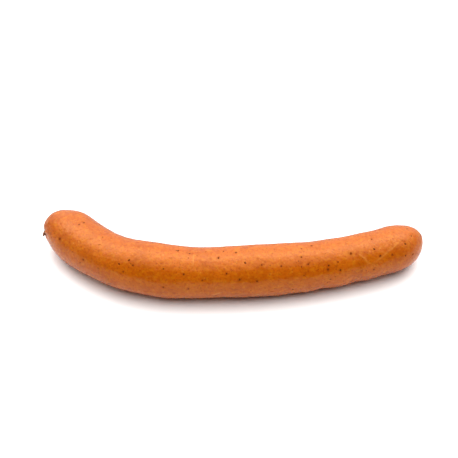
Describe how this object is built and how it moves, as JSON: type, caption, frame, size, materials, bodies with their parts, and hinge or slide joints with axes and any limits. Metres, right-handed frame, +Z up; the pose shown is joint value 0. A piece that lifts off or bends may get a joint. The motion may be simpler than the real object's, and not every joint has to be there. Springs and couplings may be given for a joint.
{
  "type": "sausage",
  "caption": "Long thin smoked sausage in a glossy natural casing, bent in a shallow curve, with a short dried twist of casing at each end.",
  "frame": {"origin": "under the middle of the sausage's outline, on the surface that it lies on", "axes": "+X along the sausage from its more bent end to its straighter end, +Y to the side that both ends curve towards, +Z up from the belly"},
  "size_m": [0.1804, 0.0482, 0.024],
  "materials": {
    "casing": "thin shiny natural casing over orange smoked meat, with pepper grains showing through"
  },
  "bodies": {
    "root": {"sausage": "casing"}
  },
  "joints": []
}
